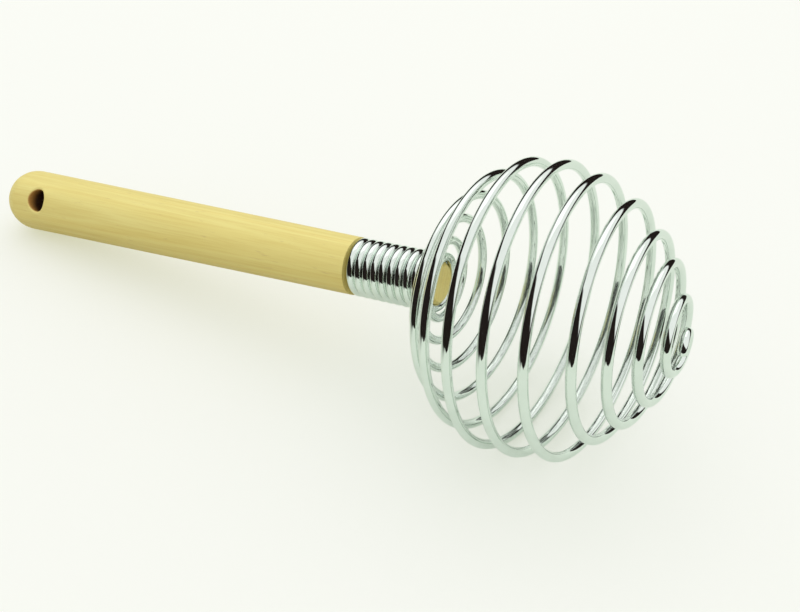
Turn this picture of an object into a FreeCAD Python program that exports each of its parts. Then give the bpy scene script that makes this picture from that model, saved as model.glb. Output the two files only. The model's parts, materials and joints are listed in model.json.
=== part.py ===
"""Spiral ball whisk: a turned wooden handle and one continuous wire wound into a neck and a ball.

The whisk lies on a flat surface, resting on the ball and on the far end of the handle, with
+X from the handle to the tip and +Z up. The origin is the bottom centre of its bounding box.
Lengths are in millimetres and angles in degrees.

Along the whisk, a place is x, measured from the throat: the last coil of the neck, where the
wire starts to flare into the ball. Along the wire, a place is n, counted in turns from there.
"""
import FreeCAD, Part
import math
import os

from FreeCAD import Vector

# Wire
WIRE_D = 2.5
WIRE_R = WIRE_D / 2
NECK_R = 7.1                    # neck coil's centreline radius
NECK_TURNS = 9.9
NECK_PITCH = WIRE_D + 0.05      # close wound
START_ANGLE = -76.3             # where n = 0 lies round the axis, from the top towards the front

# Ball: a meridian of two halves, the one at the throat shorter than the one at the tip
BALL_R = 37.15                  # largest centreline radius
BALL_BACK = 27.65               # half length on the throat's side
BALL_FRONT = 39.55              # half length on the tip's side
BALL_FULLNESS = 1.18            # power of the sine: 1 is an ellipse, more is slimmer at the poles
TURN_PITCH = 9.0                # between turns, measured along the meridian
EASE_TURNS = 1.335              # over how many turns the pitch opens up from close wound
THROAT_RISE = 0.6               # the first flaring turn climbs this much, clear of the neck's last
THROAT_RISE_AT = 0.3
THROAT_RISE_SPREAD = 0.3
WIDE_GAP_AT = 8.72              # turn at which the ball has been stretched a little
WIDE_GAP_SHIFT = 1.98
WIDE_GAP_SPREAD = 0.926
SAG_AT = 7.72                   # where a stretch of wire has been bent out of line
SAG_DROP = 1.7
SAG_SHIFT = 0.9
SAG_SPREAD = 0.22
BALL_LEAN = 3.94                # the ball's axis leans to the front from the handle's axis
LEAN_TURNS = 2                  # over which the wire takes up that lean
CURL_R = 3.2                    # the wire's last turn closes to about this radius
CURL_RISE = 0.8                 # and stands this much further out than the pole
WIRE_END = 12.45

# Handle
SHOULDER_R = NECK_R + WIRE_R    # flush with the neck coil
HANDLE_R = 10.25                # at its thick far end
HANDLE_LENGTH = 141.65
DOME_R = 9.0                    # rounding of the far end
SHOULDER_GAP = 0.05             # between the first coil and the shoulder
GRIP = 0.05                     # the neck coil is sprung onto the tenon by this much
TENON_R = NECK_R - WIRE_R + GRIP
TENON_CHAMFER = 0.8
SHOULDER_X = -(NECK_TURNS * NECK_PITCH + WIRE_R + SHOULDER_GAP)
TENON_END_X = 0.6
HANDLE_END_X = SHOULDER_X - HANDLE_LENGTH
DOME_X = HANDLE_END_X + DOME_R
HOLE_R = 3.6
HOLE_FROM_END = 18.8
HOLE_ROLL = 37.0                # the hole's axis, from the front towards the top
HOLE_RIM = 0.7

# Where the wire is cut into nodes. The first two cuts are hinged and let the ball sway, one to
# the sides and one up and down. At the others, a turn apart, the ball squeezes and stretches.
TOP_CUT = 1 - START_ANGLE / 360
FRONT_CUT = TOP_CUT + 1.25
LAST_SQUEEZE_CUT = FRONT_CUT + 8
CURL_CUT = LAST_SQUEEZE_CUT + 1
CUT_GAP = 0.35                  # a slit, so that the turns pass each other freely

ARC_PAIRS_PER_TURN = 6
SMALL_STEP = 1e-4               # in turns, to find the way the wire runs
CORNER_EASE = 1 / 12            # turns over which the corner at the throat is rounded
MERIDIAN_STEPS = 720


def meridian(psi):
    """(x, r) on the ball's meridian, psi from 0 at the throat's pole to pi at the tip's."""
    half = BALL_BACK if psi < math.pi / 2 else BALL_FRONT
    return -half * math.cos(psi), BALL_R * math.sin(psi) ** BALL_FULLNESS


def meridian_table():
    """Points along the meridian from the throat to the tip, as (length, x, r)."""
    first = math.asin((NECK_R / BALL_R) ** (1 / BALL_FULLNESS))
    x0, r0 = meridian(first)
    table = [(0.0, 0.0, r0)]
    for i in range(1, MERIDIAN_STEPS + 1):
        x, r = meridian(first + (math.pi - 1e-9 - first) * i / MERIDIAN_STEPS)
        length, last_x, last_r = table[-1]
        table.append((length + math.hypot(x - x0 - last_x, r - last_r), x - x0, r))
    return table


MERIDIAN = meridian_table()
MERIDIAN_LENGTH = MERIDIAN[-1][0]
BALL_CENTRE_X = BALL_BACK * math.cos(math.asin((NECK_R / BALL_R) ** (1 / BALL_FULLNESS)))


def on_meridian(length):
    """(x, r) at this length along the meridian from the throat."""
    if length >= MERIDIAN_LENGTH:
        return MERIDIAN[-1][1:]
    low, high = 0, len(MERIDIAN) - 1
    while high - low > 1:
        middle = (low + high) // 2
        if MERIDIAN[middle][0] <= length:
            low = middle
        else:
            high = middle
    a, b = MERIDIAN[low], MERIDIAN[high]
    t = (length - a[0]) / (b[0] - a[0])
    return a[1] + (b[1] - a[1]) * t, a[2] + (b[2] - a[2]) * t


def sharp_coil(n):
    """(x, r) of the wire's centreline at turn n, with a corner where the neck meets the ball."""
    rise = THROAT_RISE * math.exp(-((n - THROAT_RISE_AT) / THROAT_RISE_SPREAD) ** 2)
    if n <= 0:
        return n * NECK_PITCH + rise, NECK_R
    eased = (TURN_PITCH - NECK_PITCH) * EASE_TURNS * (1 - math.exp(-n / EASE_TURNS))
    shift = WIDE_GAP_SHIFT * math.exp(-((n - WIDE_GAP_AT) / WIDE_GAP_SPREAD) ** 2)
    x, r = on_meridian(TURN_PITCH * n - eased + shift)
    if x > BALL_CENTRE_X:
        closed = (r ** 4 + CURL_R ** 4) ** 0.25
        x += CURL_RISE * (closed - r) / CURL_R
        r = closed
    sag = math.exp(-((n - SAG_AT) / SAG_SPREAD) ** 2)
    return x + rise + SAG_SHIFT * sag, r + SAG_DROP * sag


def coil(n):
    """(x, r) of the wire's centreline at turn n, on its own axis."""
    places = [sharp_coil(n + shift) for shift in (-CORNER_EASE, 0, 0, CORNER_EASE)]
    return sum(x for x, r in places) / 4, sum(r for x, r in places) / 4


def smooth(t):
    """0 to 1 with no corners, as t goes from 0 to 1."""
    t = min(max(t, 0.0), 1.0)
    return t * t * (3 - 2 * t)


def whisk_point(n):
    """The wire's centreline at turn n, with the handle along X and the throat at the origin."""
    x, r = coil(n)
    angle = math.radians(360 * n + START_ANGLE)
    lean = math.radians(BALL_LEAN) * smooth(n / LEAN_TURNS)
    y = -r * math.sin(angle)
    along = x * math.cos(lean) + y * math.sin(lean)
    across = y * math.cos(lean) - x * math.sin(lean)
    return Vector(along, across, r * math.cos(angle))


def resting_tilt():
    """The tilt at which the ball's lowest turn and the end of the handle are both on the surface."""
    bottoms = [whisk_point(0.5 - START_ANGLE / 360 + k) for k in range(12)]
    tilt = math.radians(8)
    for _ in range(20):
        ball = min(p.x * math.sin(tilt) + p.z * math.cos(tilt) for p in bottoms) - WIRE_R
        dome = DOME_X * math.sin(tilt) - (HANDLE_R - DOME_R) * math.cos(tilt) - DOME_R
        tilt += (dome - ball) / (BALL_CENTRE_X - DOME_X)
    return tilt


TILT = resting_tilt()


def wire_direction(n):
    """The way the wire runs at turn n."""
    return (whisk_point(n + SMALL_STEP) - whisk_point(n - SMALL_STEP)).normalize()


def arc(start, direction, end):
    """The arc from start to end that sets off in that direction."""
    chord = end - start
    lean_in = direction.dot(chord) / chord.Length
    reach = chord.Length / 2 / lean_in
    peak = direction * reach - chord / 2
    return Part.Arc(start, start + chord / 2 + peak * (lean_in / (1 + lean_in)), end).toShape()


def tangent_arcs(a, b):
    """Two arcs of the wire from turn a to turn b, with no kink between them or at their ends."""
    start, end = whisk_point(a), whisk_point(b)
    leaves, arrives = wire_direction(a), wire_direction(b)
    chord = end - start
    along = chord.dot(leaves + arrives)
    bend = 2 * (1 - leaves.dot(arrives))
    reach = (math.sqrt(along ** 2 + bend * chord.dot(chord)) - along) / bend
    meeting = (start + leaves * reach + end - arrives * reach) / 2
    onward = (end - arrives * reach - start - leaves * reach).normalize()
    return [arc(start, leaves, meeting), arc(meeting, onward, end)]


def wire(start, end):
    """The wire from turn start to turn end, swept along arcs that run into each other."""
    count = math.ceil((end - start) * ARC_PAIRS_PER_TURN)
    stops = [start + (end - start) * i / count for i in range(count + 1)]
    arcs = [a for pair in zip(stops, stops[1:]) for a in tangent_arcs(*pair)]
    section = Part.makeCircle(WIRE_R, whisk_point(start), wire_direction(start))
    return Part.Wire(arcs).makePipeShell([Part.Wire(section)], True, False)


def hole_axis():
    roll = math.radians(HOLE_ROLL)
    return Vector(0, -math.cos(roll), math.sin(roll))


def is_rim(edge):
    """True for the mouths of the hanging hole, which stay about the hole's radius from its axis."""
    points = edge.discretize(9)
    place = Vector(HANDLE_END_X + HOLE_FROM_END, 0, 0)
    return all(abs(p.distanceToLine(place, hole_axis()) - HOLE_R) < 0.01 for p in points)


def handle():
    """The turned handle with the tenon that the neck coil grips, and the hole to hang it by."""
    tenon = [
        Vector(TENON_END_X, 0, 0),
        Vector(TENON_END_X, 0, TENON_R - TENON_CHAMFER),
        Vector(TENON_END_X - TENON_CHAMFER, 0, TENON_R),
        Vector(SHOULDER_X, 0, TENON_R),
        Vector(SHOULDER_X, 0, SHOULDER_R),
        Vector(DOME_X, 0, HANDLE_R),
    ]
    flat = HANDLE_R - DOME_R
    half_way = DOME_R * math.sqrt(0.5)
    on_dome = Vector(DOME_X - half_way, 0, flat + half_way)
    dome = Part.Arc(tenon[-1], on_dome, Vector(HANDLE_END_X, 0, flat)).toShape()
    edges = [Part.makeLine(a, b) for a, b in zip(tenon, tenon[1:])]
    edges.append(dome)
    edges.append(Part.makeLine(Vector(HANDLE_END_X, 0, flat), Vector(HANDLE_END_X, 0, 0)))
    edges.append(Part.makeLine(Vector(HANDLE_END_X, 0, 0), tenon[0]))
    profile = Part.Face(Part.Wire(edges))
    body = profile.revolve(Vector(0, 0, 0), Vector(1, 0, 0), 360)
    place = Vector(HANDLE_END_X + HOLE_FROM_END, 0, 0)
    along = hole_axis()
    drill = Part.makeCylinder(HOLE_R, 4 * HANDLE_R, place - along * 2 * HANDLE_R, along)
    drilled = body.cut(drill)
    rims = [e for e in drilled.Edges if e.BoundBox.XMax < place.x + 2 * HOLE_R and is_rim(e)]
    return drilled.makeFillet(HOLE_RIM, rims).Solids[0]


def half_gap(n):
    """Half of a slit in the wire at turn n, in turns."""
    return CUT_GAP / 2 / (2 * math.pi * coil(n)[1])


def nodes():
    """Every node's solid, in the whisk's own coordinates."""
    cuts = [TOP_CUT, FRONT_CUT]
    while cuts[-1] < LAST_SQUEEZE_CUT:
        cuts.append(cuts[-1] + 1)
    shapes = {
        "handle": handle(),
        "neck_coil": wire(-NECK_TURNS, 0),
        "throat_turn": wire(0, TOP_CUT - half_gap(TOP_CUT)),
    }
    for i, (a, b) in enumerate(zip(cuts, cuts[1:]), 1):
        shapes[f"ball_turn_{i:02d}"] = wire(a + half_gap(a), b - half_gap(b))
    last = cuts[-1]
    shapes[f"ball_turn_{len(cuts):02d}"] = wire(last + half_gap(last), CURL_CUT)
    shapes["tip_curl"] = wire(CURL_CUT, WIRE_END)
    return shapes


def lay_down(shapes):
    """Tilts the whisk to how it lies, with the origin at the bottom centre of its box."""
    for shape in shapes.values():
        shape.rotate(Vector(0, 0, 0), Vector(0, 1, 0), -math.degrees(TILT))
    box = Part.makeCompound(list(shapes.values())).optimalBoundingBox(False)
    origin = Vector((box.XMin + box.XMax) / 2, (box.YMin + box.YMax) / 2, box.ZMin)
    for shape in shapes.values():
        shape.translate(-origin)
    return origin


def main():
    os.makedirs("parts", exist_ok=True)
    shapes = nodes()
    lay_down(shapes)
    for name, shape in shapes.items():
        shape.exportStep(f"parts/{name}.step")


if __name__ == "__main__":
    main()
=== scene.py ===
"""Looks of the spiral ball whisk: the coiled wire, the wooden handle, the floor, lights and camera."""
import json
import math

import bpy
from mathutils import Matrix, Vector


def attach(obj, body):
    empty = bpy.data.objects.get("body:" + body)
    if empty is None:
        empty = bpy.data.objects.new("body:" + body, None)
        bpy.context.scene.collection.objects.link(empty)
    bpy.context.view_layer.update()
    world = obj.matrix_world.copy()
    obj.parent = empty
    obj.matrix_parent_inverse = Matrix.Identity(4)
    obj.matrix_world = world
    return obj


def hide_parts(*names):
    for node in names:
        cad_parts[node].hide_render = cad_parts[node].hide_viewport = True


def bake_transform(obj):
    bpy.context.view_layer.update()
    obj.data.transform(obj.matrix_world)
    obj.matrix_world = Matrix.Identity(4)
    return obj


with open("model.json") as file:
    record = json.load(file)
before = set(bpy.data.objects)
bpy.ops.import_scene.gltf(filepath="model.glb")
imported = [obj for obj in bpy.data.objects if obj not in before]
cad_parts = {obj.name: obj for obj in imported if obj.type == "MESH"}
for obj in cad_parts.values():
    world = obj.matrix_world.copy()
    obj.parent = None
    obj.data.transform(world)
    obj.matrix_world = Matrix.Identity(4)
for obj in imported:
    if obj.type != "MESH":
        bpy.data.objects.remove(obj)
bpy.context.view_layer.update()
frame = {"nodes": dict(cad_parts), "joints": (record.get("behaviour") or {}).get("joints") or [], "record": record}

# The wire's path, as in the part's own source: millimetres, degrees and turns from the throat.
MM = 0.001
WIRE_D = 2.5
WIRE_R = WIRE_D / 2
NECK_R = 7.1
NECK_TURNS = 9.9
NECK_PITCH = WIRE_D + 0.05
START_ANGLE = -76.3
BALL_R = 37.15
BALL_BACK = 27.65
BALL_FRONT = 39.55
BALL_FULLNESS = 1.18
TURN_PITCH = 9.0
EASE_TURNS = 1.335
THROAT_RISE = 0.6
THROAT_RISE_AT = 0.3
THROAT_RISE_SPREAD = 0.3
WIDE_GAP_AT = 8.72
WIDE_GAP_SHIFT = 1.98
WIDE_GAP_SPREAD = 0.926
SAG_AT = 7.72
SAG_DROP = 1.7
SAG_SHIFT = 0.9
SAG_SPREAD = 0.22
BALL_LEAN = 3.94
LEAN_TURNS = 2
CURL_R = 3.2
CURL_RISE = 0.8
WIRE_END = 12.45
CORNER_EASE = 1 / 12
MERIDIAN_STEPS = 720
TOP_CUT = 1 - START_ANGLE / 360
FRONT_CUT = TOP_CUT + 1.25
SQUEEZE_CUTS = 8

# How the wire is drawn. Across each cut a half turn of wire is drawn apart from the lengths on either side.
BEND = 0.25                     # turns to each side of a cut
BEND_REACH = 0.75               # of the coil's radius: a bend's reach, which nothing uses
RINGS_PER_TURN = 120
SIDES = 24
END_ROUND = 0.3                 # the sheared ends' rounded edge, in mm
END_STEPS = 4
STEP = 1e-4                     # turns to each side, to find the wire's direction

# The hanging hole's wall is darker, partly as its own wood and partly as painted shade: how far that shows round
# its mouth, and how soon the painted shade deeper in is darkest.
MOUTH_STAIN_AND_SHADE = 0.0004
DEEP_PAINTED_SHADE = 0.0035

# The view: the camera looks at a place in the ball from the front, the right and above.
AZIMUTH = 28.387
ELEVATION = 39.932
ROLL = 0.602
DISTANCE = 253.07
AIM = Vector((37.47, 1.454, 21.34))
LENS = 39.94
SENSOR = 36.0
NEAREST = 0.01                  # in metres: what the camera sees starts here

# The light on the wood and the floor: white, a little stronger from the back, warm and weaker from
# below. One large soft lamp stands behind and to the left. Lengths here and below are in metres.
ROOM_WHITE = (0.995, 1.0, 0.965)
ROOM_WARM = (1.0, 0.92, 0.66)
ROOM_LIGHT = 0.99
BACK_LIGHT = 0.14               # how much stronger the light is straight from the back
LIGHT_FROM_BELOW = 0.5
HORIZON = (-0.06, -0.005)       # sines of the elevations between which below turns into above
LAMP_PLACE = Vector((-0.25, 0.55, 1.1))
LAMP_AIM = Vector((0, 0, 0.02))
LAMP_SIZE = (1.2, 0.9)
LAMP_POWER = 1.3
LAMP_WHITE = (1.0, 0.995, 0.97)
FLOOR_REACH = 40.0
FLOOR_WHITE = (0.535, 0.505, 0.570)
FLOOR_GLOW = (0.40, 0.44, 0.335)

# What the chrome mirrors instead: a white room with a dark band round the horizon, as in a real
# studio, and a small white table that is dark towards the left and the front.
MIRRORED_WHITE = (0.96, 0.96, 0.95)
MIRRORED_DARK = (0.016, 0.011, 0.010)
RIM_HEIGHT = 0.06               # the dark band's height all round, as the sine of its elevation
RIM_EDGE = (-0.03, 0.05)        # how far above and below that height the band fades in
RIM_DARKNESS = 0.6
DARK_SIDES = (
    (-106, 0.74, 0.9),          # azimuth, added height there, and how quickly it falls off sideways
    (-30, 0.10, 2.0),
    (112, 0.36, 0.6),
    (180, 0.12, 1.5),
)
FULLY_DARK = 0.6                # how far into a dark side the band reaches its darkest
TABLE_REACH = 0.75
TABLE_WHITE = (0.90, 0.965, 0.885)
DARK_CORNER = (-0.035, -0.045)  # where the table is half dark, along x and along y
DARK_SOFTNESS = 0.055


def meridian(psi):
    """(x, r) on the ball's meridian, from psi 0 at the throat's pole to pi at the tip's."""
    half = BALL_BACK if psi < math.pi / 2 else BALL_FRONT
    return -half * math.cos(psi), BALL_R * abs(math.sin(psi)) ** BALL_FULLNESS


THROAT_PSI = math.asin((NECK_R / BALL_R) ** (1 / BALL_FULLNESS))


def meridian_table():
    """(length, x, r) along the ball's meridian, from the neck coil's radius to the far pole."""
    x0, r0 = meridian(THROAT_PSI)
    table = [(0.0, 0.0, r0)]
    last = (x0, r0)
    for i in range(1, MERIDIAN_STEPS + 1):
        x, r = meridian(THROAT_PSI + (math.pi - THROAT_PSI) * i / MERIDIAN_STEPS)
        length = table[-1][0] + math.dist((x, r), last)
        table.append((length, x - x0, r))
        last = (x, r)
    return table


MERIDIAN = meridian_table()
MERIDIAN_LENGTH = MERIDIAN[-1][0]
BALL_CENTRE_X = BALL_BACK * math.cos(THROAT_PSI)


def on_meridian(length):
    """(x, r) at a length along the meridian."""
    if length >= MERIDIAN_LENGTH:
        return MERIDIAN[-1][1:]
    low, high = 0, len(MERIDIAN) - 1
    while high - low > 1:
        middle = (low + high) // 2
        if MERIDIAN[middle][0] <= length:
            low = middle
        else:
            high = middle
    a, b = MERIDIAN[low], MERIDIAN[high]
    t = (length - a[0]) / (b[0] - a[0])
    return a[1] + (b[1] - a[1]) * t, a[2] + (b[2] - a[2]) * t


def sharp_coil(n):
    """(x, r) of the wire's centreline at turn n, with a corner where the neck meets the ball."""
    rise = THROAT_RISE * math.exp(-((n - THROAT_RISE_AT) / THROAT_RISE_SPREAD) ** 2)
    if n <= 0:
        return n * NECK_PITCH + rise, NECK_R
    eased = (TURN_PITCH - NECK_PITCH) * EASE_TURNS * (1 - math.exp(-n / EASE_TURNS))
    shift = WIDE_GAP_SHIFT * math.exp(-((n - WIDE_GAP_AT) / WIDE_GAP_SPREAD) ** 2)
    x, r = on_meridian(TURN_PITCH * n - eased + shift)
    if x > BALL_CENTRE_X:
        closed = (r ** 4 + CURL_R ** 4) ** 0.25
        x += CURL_RISE * (closed - r) / CURL_R
        r = closed
    sag = math.exp(-((n - SAG_AT) / SAG_SPREAD) ** 2)
    return x + rise + SAG_SHIFT * sag, r + SAG_DROP * sag


def coil(n):
    """(x, r) of the wire's centreline at turn n, on its own axis."""
    places = [sharp_coil(n + shift) for shift in (-CORNER_EASE, 0, 0, CORNER_EASE)]
    return sum(x for x, r in places) / 4, sum(r for x, r in places) / 4


def smooth(t):
    t = min(max(t, 0.0), 1.0)
    return t * t * (3 - 2 * t)


def wire_place(n):
    """The wire's centre at turn n and the way out from the coil's axis there, on the whisk's axes."""
    x, r = coil(n)
    angle = math.radians(360 * n + START_ANGLE)
    lean = math.radians(BALL_LEAN) * smooth(n / LEAN_TURNS)
    axis = Vector((math.cos(lean), -math.sin(lean), 0))
    side = Vector((math.sin(lean), math.cos(lean), 0))
    out = side * -math.sin(angle) + Vector((0, 0, math.cos(angle)))
    return axis * x + out * r, out


# The whisk lies tilted. The first hinge's axis is the whisk's own up, and it passes through TOP_CUT.
FIRST_HINGE = next(j for j in frame["joints"] if j["name"] == "ball_sway_side")
UP = Vector(FIRST_HINGE["axis"])
ALONG = Vector((UP.z, 0, -UP.x))
ACROSS = Vector((0, 1, 0))


def turned(v):
    """A direction on the whisk's axes, in the row's frame."""
    return ALONG * v.x + ACROSS * v.y + UP * v.z


ORIGIN = Vector(FIRST_HINGE["pos_m"]) - turned(wire_place(TOP_CUT)[0]) * MM


def row(n):
    """The wire's centre at turn n, and the way out, in the row's frame."""
    centre, out = wire_place(n)
    return ORIGIN + turned(centre) * MM, turned(out)


def direction(n):
    return (row(n + STEP)[0] - row(n - STEP)[0]).normalized()


def turns_per_mm(n):
    """How many turns a millimetre of wire takes up at turn n."""
    return 1 / (2 * math.pi * coil(n)[1])


def ring_stops(start, end, sheared_start, sheared_end):
    """(turn, radius, lean) of every ring from start to end, with a rounded edge at a sheared end.

    The lean is how far the surface faces forwards there, as an angle."""
    count = math.ceil((end - start) * RINGS_PER_TURN)
    stops = [(start + (end - start) * i / count, WIRE_R, 0.0) for i in range(count + 1)]
    quarter = [math.pi / 2 * k / END_STEPS for k in range(END_STEPS + 1)]
    inset = [
        (END_ROUND * (1 - math.sin(lean)), WIRE_R - END_ROUND * (1 - math.cos(lean)), lean)
        for lean in quarter
    ]
    if sheared_end:
        scale = turns_per_mm(end)
        stops = [s for s in stops if s[0] < end - END_ROUND * scale]
        stops += [(end - depth * scale, radius, lean) for depth, radius, lean in inset]
    if sheared_start:
        scale = turns_per_mm(start)
        stops = [s for s in stops if s[0] > start + END_ROUND * scale]
        first = [(start + depth * scale, radius, -lean) for depth, radius, lean in inset[::-1]]
        stops = first + stops
    return stops


def tube(name, start, end, sheared_start=False, sheared_end=False):
    """A closed length of wire from turn start to turn end."""
    places, normals = [], []
    for n, radius, lean in ring_stops(start, end, sheared_start, sheared_end):
        centre, out = row(n)
        ahead = direction(n)
        out = (out - ahead * out.dot(ahead)).normalized()
        beside = ahead.cross(out)
        for k in range(SIDES):
            angle = 2 * math.pi * k / SIDES
            spoke = out * math.cos(angle) + beside * math.sin(angle)
            places.append(centre + spoke * radius * MM)
            normals.append(spoke * math.cos(lean) + ahead * math.sin(lean))
    faces = []
    for ring in range(0, len(places) - SIDES, SIDES):
        for k in range(SIDES):
            a, b = ring + k, ring + (k + 1) % SIDES
            faces.append((a, b, b + SIDES, a + SIDES))
    corners = [normals[v] for face in faces for v in face]
    faces.append(tuple(range(SIDES))[::-1])
    corners += [-direction(start)] * SIDES
    faces.append(tuple(range(len(places) - SIDES, len(places))))
    corners += [direction(end)] * SIDES

    mesh = bpy.data.meshes.new(name)
    mesh.from_pydata(places, [], faces)
    mesh.materials.append(CHROME)
    mesh.materials.append(SHEARED_STEEL)
    mesh.polygons[-2].material_index = 1 if sheared_start else 0
    mesh.polygons[-1].material_index = 1 if sheared_end else 0
    for face in mesh.polygons[:-2]:
        face.use_smooth = True
    mesh.normals_split_custom_set(corners)
    piece = bpy.data.objects.new(name, mesh)
    bpy.context.scene.collection.objects.link(piece)
    return piece


def bend_across(piece, cut):
    """Bakes the piece's placement into its mesh; the piece is not made to bend between the bodies."""
    centre = row(cut)[0]
    reach = direction(cut) * coil(cut)[1] * BEND_REACH * MM
    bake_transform(piece)


def new_material(name):
    material = bpy.data.materials.new(name)
    material.use_nodes = True
    nodes = material.node_tree.nodes
    return material, nodes, material.node_tree.links, nodes["Principled BSDF"]


def node(nodes, kind, **settings):
    made = nodes.new(kind)
    for key, value in settings.items():
        if hasattr(made, key):
            setattr(made, key, value)
        else:
            made.inputs[key.replace("_", " ")].default_value = value
    return made


def ramp(nodes, *stops):
    """A colour ramp with (place, colour) stops."""
    made = nodes.new("ShaderNodeValToRGB")
    elements = made.color_ramp.elements
    while len(elements) < len(stops):
        elements.new(0.5)
    for element, (place, colour) in zip(elements, stops):
        element.position = place
        element.color = (*colour, 1)
    return made


def grey(v):
    return (v, v, v)


def chrome():
    """Bright plating, with faint finger marks and a barely uneven surface."""
    material, nodes, links, shader = new_material("chrome_plating")
    shader.inputs["Metallic"].default_value = 1.0
    place = node(nodes, "ShaderNodeTexCoord")
    marks = node(nodes, "ShaderNodeTexNoise", Scale=180.0, Detail=5.0, Roughness=0.6)
    links.new(place.outputs["Object"], marks.inputs["Vector"])
    tone = ramp(nodes, (0.3, (0.77, 0.835, 0.785)), (0.7, (0.835, 0.895, 0.85)))
    links.new(marks.outputs["Fac"], tone.inputs["Fac"])
    links.new(tone.outputs["Color"], shader.inputs["Base Color"])
    gloss = ramp(nodes, (0.35, grey(0.035)), (0.75, grey(0.085)))
    links.new(marks.outputs["Fac"], gloss.inputs["Fac"])
    links.new(gloss.outputs["Color"], shader.inputs["Roughness"])
    ripple = node(nodes, "ShaderNodeTexNoise", Scale=420.0, Detail=3.0)
    links.new(place.outputs["Object"], ripple.inputs["Vector"])
    bump = node(nodes, "ShaderNodeBump", Strength=0.05, Distance=0.0002)
    links.new(ripple.outputs["Fac"], bump.inputs["Height"])
    links.new(bump.outputs["Normal"], shader.inputs["Normal"])
    return material


def sheared_steel():
    """The wire's cut ends: dull bare steel with shear marks."""
    material, nodes, links, shader = new_material("sheared_steel")
    shader.inputs["Metallic"].default_value = 1.0
    place = node(nodes, "ShaderNodeTexCoord")
    stretch = node(nodes, "ShaderNodeMapping", Scale=(6000.0, 900.0, 900.0))
    links.new(place.outputs["Object"], stretch.inputs["Vector"])
    marks = node(nodes, "ShaderNodeTexNoise", Scale=1.0, Detail=4.0)
    links.new(stretch.outputs["Vector"], marks.inputs["Vector"])
    tone = ramp(nodes, (0.3, (0.16, 0.155, 0.15)), (0.7, (0.42, 0.41, 0.40)))
    links.new(marks.outputs["Fac"], tone.inputs["Fac"])
    links.new(tone.outputs["Color"], shader.inputs["Base Color"])
    gloss = ramp(nodes, (0.3, grey(0.55)), (0.7, grey(0.35)))
    links.new(marks.outputs["Fac"], gloss.inputs["Fac"])
    links.new(gloss.outputs["Color"], shader.inputs["Roughness"])
    bump = node(nodes, "ShaderNodeBump", Strength=0.4, Distance=0.00005)
    links.new(marks.outputs["Fac"], bump.inputs["Height"])
    links.new(bump.outputs["Normal"], shader.inputs["Normal"])
    return material


# The colour sockets of a mix node, whose names its number sockets share.
MIX_COLOUR_A, MIX_COLOUR_B, MIX_RESULT = 6, 7, 2


def feed(links, socket, value):
    """Set a number or a colour on the socket, or link an output to it."""
    if isinstance(value, bpy.types.NodeSocket):
        links.new(value, socket)
    elif isinstance(value, tuple):
        socket.default_value = (*value, 1)
    else:
        socket.default_value = value


def arithmetic(nodes, links, operation, *values):
    """One step of arithmetic in a node tree, on numbers or outputs."""
    made = node(nodes, "ShaderNodeMath", operation=operation)
    for socket, value in zip(made.inputs, values):
        feed(links, socket, value)
    return made.outputs[0]


def mixed(nodes, links, blend_type, amount, a, b):
    """Two colours mixed. The amount and both colours are values or outputs."""
    made = node(nodes, "ShaderNodeMix", data_type="RGBA", blend_type=blend_type)
    feed(links, made.inputs["Factor"], amount)
    feed(links, made.inputs[MIX_COLOUR_A], a)
    feed(links, made.inputs[MIX_COLOUR_B], b)
    return made.outputs[MIX_RESULT]


def ranged(nodes, links, value, low, high, to_low=0.0, to_high=1.0):
    """The value's place from low to high, eased at both ends."""
    made = node(nodes, "ShaderNodeMapRange", interpolation_type="SMOOTHSTEP")
    made.inputs["From Min"].default_value = low
    made.inputs["From Max"].default_value = high
    made.inputs["To Min"].default_value = to_low
    made.inputs["To Max"].default_value = to_high
    links.new(value, made.inputs["Value"])
    return made.outputs["Result"]


def bored(nodes, links, place):
    """Two masks for the hanging hole: its painted shade deeper in, and the whole wall, darker as its own wood and
    as painted shade.
    """
    hole = next(m for m in frame["record"]["mounts"] if m["name"] == "hang_hole")
    axis = Vector(hole["axis"]).normalized()
    away = node(nodes, "ShaderNodeVectorMath", operation="SUBTRACT")
    links.new(place.outputs["Object"], away.inputs[0])
    away.inputs[1].default_value = hole["pos_m"]
    across = node(nodes, "ShaderNodeVectorMath", operation="CROSS_PRODUCT")
    links.new(away.outputs[0], across.inputs[0])
    across.inputs[1].default_value = axis
    off_axis = node(nodes, "ShaderNodeVectorMath", operation="LENGTH")
    links.new(across.outputs[0], off_axis.inputs[0])
    radius = hole["dims"]["r_mm"] * MM
    mouth = ranged(nodes, links, off_axis.outputs["Value"], radius + MOUTH_STAIN_AND_SHADE, radius)
    along = node(nodes, "ShaderNodeVectorMath", operation="DOT_PRODUCT")
    links.new(away.outputs[0], along.inputs[0])
    along.inputs[1].default_value = axis
    from_middle = arithmetic(nodes, links, "ABSOLUTE", along.outputs["Value"])
    half = hole["dims"]["length_mm"] * MM / 2
    # painted shade: darkest deeper in the hole
    depth = ranged(nodes, links, from_middle, half, half - DEEP_PAINTED_SHADE)
    return arithmetic(nodes, links, "MULTIPLY", mouth, depth), mouth


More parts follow.
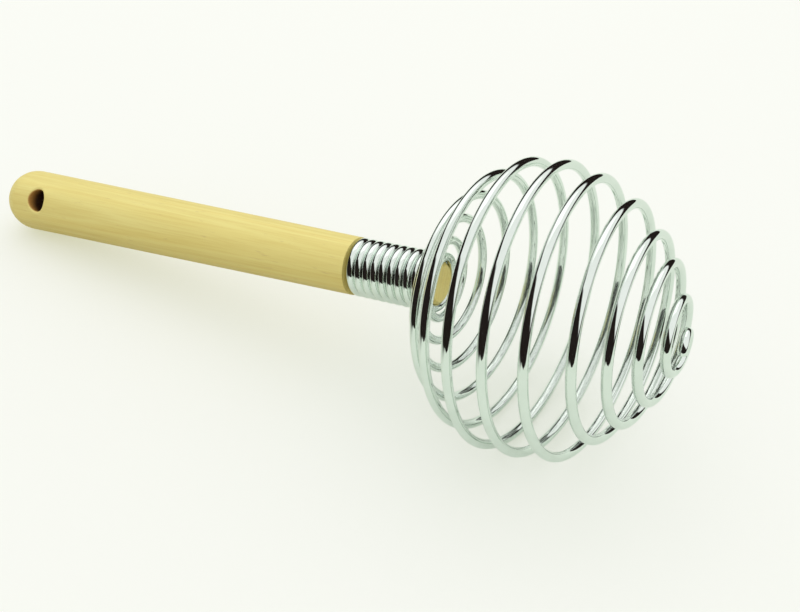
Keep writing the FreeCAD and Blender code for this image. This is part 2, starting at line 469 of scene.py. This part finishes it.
def beech():
    """Pale waxed beech: broad soft bands, fine straight grain, short flecks and a bore darkened partly by its own
    wood and partly by painted shade.
    """
    material, nodes, links, shader = new_material("waxed_beech")
    place = node(nodes, "ShaderNodeTexCoord")
    level = node(nodes, "ShaderNodeMapping", vector_type="TEXTURE")
    level.inputs["Location"].default_value = ORIGIN
    level.inputs["Rotation"].default_value = (0, math.atan2(UP.x, UP.z), 0)
    links.new(place.outputs["Object"], level.inputs["Vector"])

    def grain(scale, detail, roughness=0.55, offset=(0, 0, 0)):
        stretch = node(nodes, "ShaderNodeMapping", Scale=scale)
        stretch.inputs["Location"].default_value = offset
        links.new(level.outputs["Vector"], stretch.inputs["Vector"])
        noise = node(nodes, "ShaderNodeTexNoise", Scale=1.0, Detail=detail, Roughness=roughness)
        links.new(stretch.outputs["Vector"], noise.inputs["Vector"])
        return noise.outputs["Fac"]

    # growth rings round a pith that lies outside the handle
    pith = node(nodes, "ShaderNodeMapping", Scale=(1.2, 34.0, 34.0))
    pith.inputs["Location"].default_value = (0.3, -1.15, 0.75)
    links.new(level.outputs["Vector"], pith.inputs["Vector"])
    rings = node(nodes, "ShaderNodeTexWave", wave_type="RINGS", rings_direction="X")
    rings.inputs["Scale"].default_value = 3.1
    rings.inputs["Distortion"].default_value = 2.2
    rings.inputs["Detail"].default_value = 3.0
    rings.inputs["Detail Scale"].default_value = 0.8
    links.new(pith.outputs["Vector"], rings.inputs["Vector"])
    base = ramp(
        nodes,
        (0.0, (0.85, 0.730, 0.262)),
        (0.55, (0.895, 0.790, 0.300)),
        (1.0, (0.875, 0.750, 0.268)),
    )
    links.new(rings.outputs["Fac"], base.inputs["Fac"])

    broad = ramp(nodes, (0.34, (0.955, 0.925, 0.86)), (0.66, (1.0, 1.0, 1.0)))
    links.new(grain((14, 120, 120), 3.0), broad.inputs["Fac"])
    colour = mixed(nodes, links, "MULTIPLY", 0.8, base.outputs["Color"], broad.outputs["Color"])

    fine = ramp(nodes, (0.36, (0.88, 0.81, 0.68)), (0.56, (1.0, 1.0, 1.0)))
    links.new(grain((34, 1700, 1700), 4.0, 0.6), fine.inputs["Fac"])
    colour = mixed(nodes, links, "MULTIPLY", 0.42, colour, fine.outputs["Color"])

    flecks = ramp(nodes, (0.66, grey(0.0)), (0.78, grey(0.5)))
    links.new(grain((190, 1300, 1300), 2.0, 0.5, (3, 1, 2)), flecks.inputs["Fac"])
    colour = mixed(nodes, links, "MIX", flecks.outputs["Color"], colour, (0.66, 0.50, 0.20))

    painted_deep_shade, mouth = bored(nodes, links, place)
    # the bore's wall: its own darker wood, partly painted shade
    colour = mixed(nodes, links, "MIX", mouth, colour, (0.50, 0.25, 0.06))
    # painted shade deeper in the hole, close to black
    colour = mixed(nodes, links, "MIX", painted_deep_shade, colour, (0.045, 0.016, 0.005))
    links.new(colour, shader.inputs["Base Color"])

    gloss = ramp(nodes, (0.3, grey(0.42)), (0.7, grey(0.58)))
    links.new(grain((60, 500, 500), 3.0), gloss.inputs["Fac"])
    links.new(gloss.outputs["Color"], shader.inputs["Roughness"])
    shader.inputs["Specular IOR Level"].default_value = 0.35
    pores = node(nodes, "ShaderNodeBump", Strength=0.22, Distance=0.00015)
    links.new(grain((55, 2100, 2100), 3.0, 0.6, (7, 5, 1)), pores.inputs["Height"])
    links.new(pores.outputs["Normal"], shader.inputs["Normal"])
    return material


CHROME = chrome()
SHEARED_STEEL = sheared_steel()
BEECH = beech()


def build_wire():
    """The wire, in lengths that ride on a body and half turns drawn across each joint, which ride on no body."""
    bodies = ["grip"] + [f"turn_{i:02d}" for i in range(1, SQUEEZE_CUTS + 2)] + ["tip"]
    cuts = [TOP_CUT] + [FRONT_CUT + i for i in range(SQUEEZE_CUTS + 1)]
    neck = tube("wire_neck", -NECK_TURNS, cuts[0] - BEND, sheared_start=True)
    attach(neck, "grip")
    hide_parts("neck_coil", "throat_turn")
    for i, cut in enumerate(cuts):
        bend = tube(f"wire_bend_{i + 1:02d}", cut - BEND, cut + BEND)
        bend_across(bend, cut)
        body = bodies[i + 1]
        if body == "tip":
            tip = tube("wire_tip", cut + BEND, WIRE_END, sheared_end=True)
            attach(tip, body)
            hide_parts("ball_turn_10", "tip_curl")
        else:
            turn = tube(f"wire_turn_{i + 1:02d}", cut + BEND, cuts[i + 1] - BEND)
            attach(turn, body)
            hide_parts(f"ball_turn_{i + 1:02d}")


def dress_handle():
    handle = frame["nodes"]["handle"]
    handle.data.materials.clear()
    handle.data.materials.append(BEECH)


def sheet(name, corners, material):
    mesh = bpy.data.meshes.new(name)
    mesh.from_pydata(corners, [], [(0, 1, 2, 3)])
    mesh.materials.append(material)
    made = bpy.data.objects.new(name, mesh)
    bpy.context.scene.collection.objects.link(made)
    return made


def glowing_floor():
    """A pale floor lit a little from within, as a light table is, so that shadows on it stay pale."""
    material, nodes, links, shader = new_material("floor_white")
    shader.inputs["Base Color"].default_value = (*FLOOR_WHITE, 1)
    shader.inputs["Roughness"].default_value = 0.9
    shader.inputs["Specular IOR Level"].default_value = 0.1
    shader.inputs["Emission Color"].default_value = (*FLOOR_GLOW, 1)
    shader.inputs["Emission Strength"].default_value = 1.0
    return material


def only_in_reflections(card):
    """Mirrored in the chrome, but not seen, lit through or shading anything."""
    card.visible_camera = False
    card.visible_diffuse = False
    card.visible_transmission = False
    card.visible_volume_scatter = False
    card.visible_shadow = False


def facing(nodes, links, level, azimuth):
    """How far a level direction faces an azimuth: 1 straight at it, 0 a quarter turn away or more."""
    dot = node(nodes, "ShaderNodeVectorMath", operation="DOT_PRODUCT")
    links.new(level, dot.inputs[0])
    angle = math.radians(azimuth)
    dot.inputs[1].default_value = (math.cos(angle), math.sin(angle), 0)
    return arithmetic(nodes, links, "MAXIMUM", dot.outputs["Value"], 0.0)


def room_light(nodes, links, parts):
    """(colour, strength) of the light on the wood and the floor."""
    above = ranged(nodes, links, parts.outputs["Z"], *HORIZON)
    tint = mixed(nodes, links, "MIX", above, ROOM_WARM, ROOM_WHITE)
    from_back = arithmetic(nodes, links, "MULTIPLY", parts.outputs["Y"], BACK_LIGHT)
    uneven = arithmetic(nodes, links, "ADD", from_back, 1.0)
    strength = arithmetic(nodes, links, "MULTIPLY", uneven, ROOM_LIGHT)
    dimmed = ranged(nodes, links, parts.outputs["Z"], *HORIZON, LIGHT_FROM_BELOW, 1.0)
    return tint, arithmetic(nodes, links, "MULTIPLY", strength, dimmed)


def mirrored_room(nodes, links, parts):
    """The room's colour as the chrome sees it: white, with a dark band, tallest at the front."""
    flat = node(nodes, "ShaderNodeCombineXYZ")
    links.new(parts.outputs["X"], flat.inputs["X"])
    links.new(parts.outputs["Y"], flat.inputs["Y"])
    level = node(nodes, "ShaderNodeVectorMath", operation="NORMALIZE")
    links.new(flat.outputs[0], level.inputs[0])
    height, shade = RIM_HEIGHT, 0.0
    for azimuth, extra, power in DARK_SIDES:
        towards = facing(nodes, links, level.outputs[0], azimuth)
        side = arithmetic(nodes, links, "POWER", towards, power)
        added = arithmetic(nodes, links, "MULTIPLY", side, extra)
        height = arithmetic(nodes, links, "ADD", added, height)
        shade = arithmetic(nodes, links, "MAXIMUM", side, shade)
    below = arithmetic(nodes, links, "SUBTRACT", height, parts.outputs["Z"])
    edge = ranged(nodes, links, below, *RIM_EDGE)
    darkness = ranged(nodes, links, shade, 0.0, FULLY_DARK, RIM_DARKNESS, 1.0)
    dark = arithmetic(nodes, links, "MULTIPLY", edge, darkness)
    return mixed(nodes, links, "MIX", dark, MIRRORED_WHITE, MIRRORED_DARK)


def white_room():
    """One room for the light and another for the chrome's reflections."""
    world = bpy.data.worlds.new("white_room")
    bpy.context.scene.world = world
    world.use_nodes = True
    nodes, links = world.node_tree.nodes, world.node_tree.links
    way = node(nodes, "ShaderNodeTexCoord")
    parts = node(nodes, "ShaderNodeSeparateXYZ")
    links.new(way.outputs["Generated"], parts.inputs[0])

    white = nodes["Background"]
    colour, strength = room_light(nodes, links, parts)
    links.new(colour, white.inputs["Color"])
    links.new(strength, white.inputs["Strength"])
    mirrored = node(nodes, "ShaderNodeBackground")
    links.new(mirrored_room(nodes, links, parts), mirrored.inputs["Color"])

    path = node(nodes, "ShaderNodeLightPath")
    choose = node(nodes, "ShaderNodeMixShader")
    links.new(path.outputs["Is Glossy Ray"], choose.inputs["Fac"])
    links.new(white.outputs[0], choose.inputs[1])
    links.new(mirrored.outputs[0], choose.inputs[2])
    links.new(choose.outputs[0], nodes["World Output"].inputs["Surface"])


def table_in_chrome():
    """The table as the chrome sees it: white, and dark towards the left and the front."""
    material, nodes, links, shader = new_material("table_in_chrome")
    place = node(nodes, "ShaderNodeTexCoord")
    parts = node(nodes, "ShaderNodeSeparateXYZ")
    links.new(place.outputs["Object"], parts.inputs[0])
    masks = []
    for axis, corner in zip("XY", DARK_CORNER):
        edge = corner + DARK_SOFTNESS, corner - DARK_SOFTNESS
        masks.append(ranged(nodes, links, parts.outputs[axis], *edge))
    dark = arithmetic(nodes, links, "MULTIPLY", *masks)
    colour = mixed(nodes, links, "MIX", dark, TABLE_WHITE, MIRRORED_DARK)
    links.new(colour, shader.inputs["Base Color"])
    shader.inputs["Roughness"].default_value = 0.9
    shader.inputs["Specular IOR Level"].default_value = 0.0
    return material


def studio():
    """A pale floor, a white room, one large soft lamp, and dark things seen only in the chrome."""
    corners = [Vector(c) for c in ((-1, -1, 0), (1, -1, 0), (1, 1, 0), (-1, 1, 0))]
    floor = sheet("floor", [c * FLOOR_REACH for c in corners], glowing_floor())
    floor.visible_glossy = False
    floor.visible_diffuse = False
    table = sheet("table_top", [c * TABLE_REACH for c in corners], table_in_chrome())
    only_in_reflections(table)
    white_room()

    lamp = bpy.data.lights.new("soft_light", "AREA")
    lamp.shape = "RECTANGLE"
    lamp.size, lamp.size_y = LAMP_SIZE
    lamp.energy = LAMP_POWER
    lamp.color = LAMP_WHITE
    light = bpy.data.objects.new("soft_light", lamp)
    bpy.context.scene.collection.objects.link(light)
    light.location = LAMP_PLACE
    light.rotation_euler = (LAMP_AIM - LAMP_PLACE).to_track_quat("-Z", "Y").to_euler()


def camera():
    azimuth, elevation, roll = (math.radians(a) for a in (AZIMUTH, ELEVATION, ROLL))
    right = Vector((math.cos(azimuth), math.sin(azimuth), 0))
    back = Vector((
        math.sin(azimuth) * math.cos(elevation),
        -math.cos(azimuth) * math.cos(elevation),
        math.sin(elevation),
    ))
    up = back.cross(right)
    across = right * math.cos(roll) + up * math.sin(roll)
    lens = bpy.data.cameras.new("camera")
    lens.lens = LENS
    lens.sensor_width = SENSOR
    lens.clip_start = NEAREST
    made = bpy.data.objects.new("camera", lens)
    bpy.context.scene.collection.objects.link(made)
    turn = Matrix((across, back.cross(across), back)).transposed()
    made.matrix_world = Matrix.Translation((AIM + back * DISTANCE) * MM) @ turn.to_4x4()
    bpy.context.scene.camera = made


build_wire()
dress_handle()
studio()
camera()
bpy.context.scene.view_settings.view_transform = "Standard"
